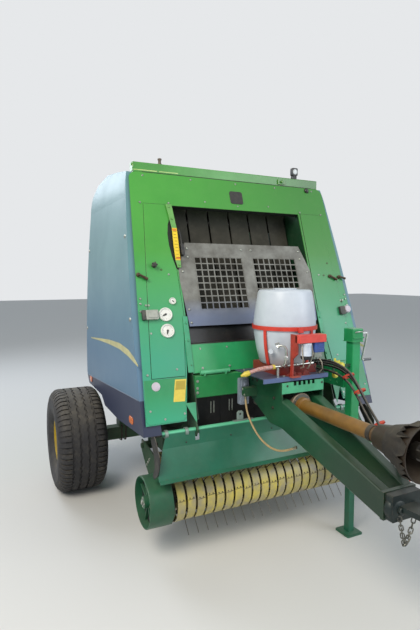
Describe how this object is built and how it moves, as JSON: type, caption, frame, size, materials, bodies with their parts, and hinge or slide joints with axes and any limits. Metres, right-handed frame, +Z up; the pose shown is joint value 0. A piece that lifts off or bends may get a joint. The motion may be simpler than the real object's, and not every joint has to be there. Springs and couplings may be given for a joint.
{
  "type": "round baler",
  "caption": "Trailed round baler with a leaning front, belt chamber, lifting tailgate, tined pickup, drawbar, drive shaft, parking jack and an additive tank",
  "frame": {"origin": "on the ground under the middle of the bounding box of the machine without its hoses", "axes": "+Z up, -Y forwards to the hitch, +X to the machine's left"},
  "size_m": [2.78, 4.3999, 2.978],
  "materials": {
    "green_paint": "semi_gloss",
    "dark_green_paint": "semi_gloss",
    "grey_paint": "matte",
    "galvanised": "matte",
    "yellow_paint": "semi_gloss",
    "cream_paint": "matte",
    "red_paint": "semi_gloss",
    "steel": "matte",
    "spring_steel": "matte",
    "belt_rubber": "matte",
    "hose_rubber": "matte",
    "grease_hose": "matte",
    "tyre_rubber": "matte",
    "tank_plastic": "matte",
    "guard_plastic": "matte",
    "dial_glass": "gloss",
    "lamp_lens": "gloss",
    "lamp_housing": "matte",
    "shelf_paint": "matte"
  },
  "bodies": {
    "chassis": {"axle": "dark_green_paint", "chamber_walls": "green_paint", "dials": "dial_glass", "drawbar": "dark_green_paint", "drive_chains": "steel", "front_belts": "belt_rubber", "front_rollers": "steel", "front_surround": "green_paint", "gearbox": "grey_paint", "guard_plate": "galvanised", "hitch": "green_paint", "hose_brackets": "dark_green_paint", "hose_grease": "grease_hose", "hose_hydraulic_1": "hose_rubber", "hose_hydraulic_2": "hose_rubber", "hose_hydraulic_3": "hose_rubber", "hose_hydraulic_4": "hose_rubber", "hose_plugs": "hose_rubber", "jack_tube": "green_paint", "lower_beam": "green_paint", "lower_panel": "green_paint", "pto_guard": "guard_plastic", "pump": "red_paint", "shelf": "shelf_paint", "shield_arms": "dark_green_paint", "side_frames": "dark_green_paint", "tank": "tank_plastic", "tank_frame": "red_paint", "top_tube": "green_paint", "windguard_brackets": "dark_green_paint", "work_lamp": "lamp_housing"},
    "wheel_left": {"tyre_left": "tyre_rubber", "rim_left": "yellow_paint"},
    "wheel_right": {"tyre_right": "tyre_rubber", "rim_right": "yellow_paint"},
    "drive_shaft": {"pto_shaft": "steel"},
    "tailgate": {"tailgate_sides": "green_paint", "tailgate_rollers": "steel", "tailgate_belts": "belt_rubber", "tailgate_frame": "green_paint", "tail_lamps": "lamp_lens"},
    "gate_barrel_left": {"gate_barrel_left": "dark_green_paint"},
    "gate_barrel_right": {"gate_barrel_right": "dark_green_paint"},
    "gate_rod_left": {"gate_rod_left": "steel"},
    "gate_rod_right": {"gate_rod_right": "steel"},
    "side_shield_left": {"side_shield_left": "green_paint"},
    "side_shield_right": {"side_shield_right": "green_paint"},
    "pickup": {"pickup_beam": "dark_green_paint", "pickup_bands": "cream_paint", "pickup_sides": "dark_green_paint", "pickup_drums": "green_paint"},
    "reel": {"reel": "spring_steel"},
    "windguard": {"windguard": "green_paint"},
    "jack_leg": {"jack_leg": "green_paint"},
    "jack_crank": {"jack_crank": "galvanised"}
  },
  "joints": [
    {"name": "wheel_spin_left", "type": "hinge", "parent": "chassis", "child": "wheel_left", "pos_m": [1.17, 0.96, 0.4725], "axis": [1, 0, 0], "continuous": true},
    {"name": "wheel_spin_right", "type": "hinge", "parent": "chassis", "child": "wheel_right", "pos_m": [-1.17, 0.96, 0.4725], "axis": [1, 0, 0], "continuous": true},
    {"name": "drive_spin", "type": "hinge", "parent": "chassis", "child": "drive_shaft", "pos_m": [0, -1.5, 1.13], "axis": [0, 1, 0], "continuous": true},
    {"name": "tailgate_hinge", "type": "hinge", "parent": "chassis", "child": "tailgate", "pos_m": [0, 0.76, 2.62], "axis": [1, 0, 0], "range_deg": [0, 60]},
    {"name": "gate_barrel_hinge_left", "type": "hinge", "parent": "chassis", "child": "gate_barrel_left", "pos_m": [0.72, 0.45, 1.15], "axis": [1, 0, 0], "range_deg": [0, 11.94]},
    {"name": "gate_rod_slide_left", "type": "slide", "parent": "gate_barrel_left", "child": "gate_rod_left", "axis": [0, 0.6877, 0.726], "range_m": [0, 0.7106]},
    {"name": "gate_barrel_hinge_right", "type": "hinge", "parent": "chassis", "child": "gate_barrel_right", "pos_m": [-0.72, 0.45, 1.15], "axis": [1, 0, 0], "range_deg": [0, 11.94]},
    {"name": "gate_rod_slide_right", "type": "slide", "parent": "gate_barrel_right", "child": "gate_rod_right", "axis": [0, 0.6877, 0.726], "range_m": [0, 0.7106]},
    {"name": "shield_hinge_left", "type": "hinge", "parent": "chassis", "child": "side_shield_left", "pos_m": [0.872, 0.44, 2.82], "axis": [0, -1, 0], "range_deg": [0, 80]},
    {"name": "shield_hinge_right", "type": "hinge", "parent": "chassis", "child": "side_shield_right", "pos_m": [-0.872, 0.44, 2.82], "axis": [0, 1, 0], "range_deg": [0, 80]},
    {"name": "pickup_lift", "type": "hinge", "parent": "chassis", "child": "pickup", "pos_m": [0, 0, 0.65], "axis": [1, 0, 0], "range_deg": [0, 12]},
    {"name": "reel_spin", "type": "hinge", "parent": "pickup", "child": "reel", "pos_m": [0, -0.5, 0.432], "axis": [1, 0, 0], "continuous": true},
    {"name": "windguard_hinge", "type": "hinge", "parent": "chassis", "child": "windguard", "pos_m": [0, -0.6, 0.93], "axis": [-1, 0, 0], "range_deg": [0, 10]},
    {"name": "jack_slide", "type": "slide", "parent": "chassis", "child": "jack_leg", "axis": [0, 0, 1], "range_m": [0, 0.35]},
    {"name": "jack_crank_spin", "type": "hinge", "parent": "chassis", "child": "jack_crank", "pos_m": [0.67, -0.83, 1.57], "axis": [1, 0, 0], "continuous": true}
  ],
  "couplings": [
    {"joint": "gate_barrel_hinge_left", "follows": "tailgate_hinge", "ratio": 0.1989},
    {"joint": "gate_rod_slide_left", "follows": "tailgate_hinge", "m_per_rad": 0.67813},
    {"joint": "gate_barrel_hinge_right", "follows": "tailgate_hinge", "ratio": 0.1989},
    {"joint": "gate_rod_slide_right", "follows": "tailgate_hinge", "m_per_rad": 0.67813}
  ]
}
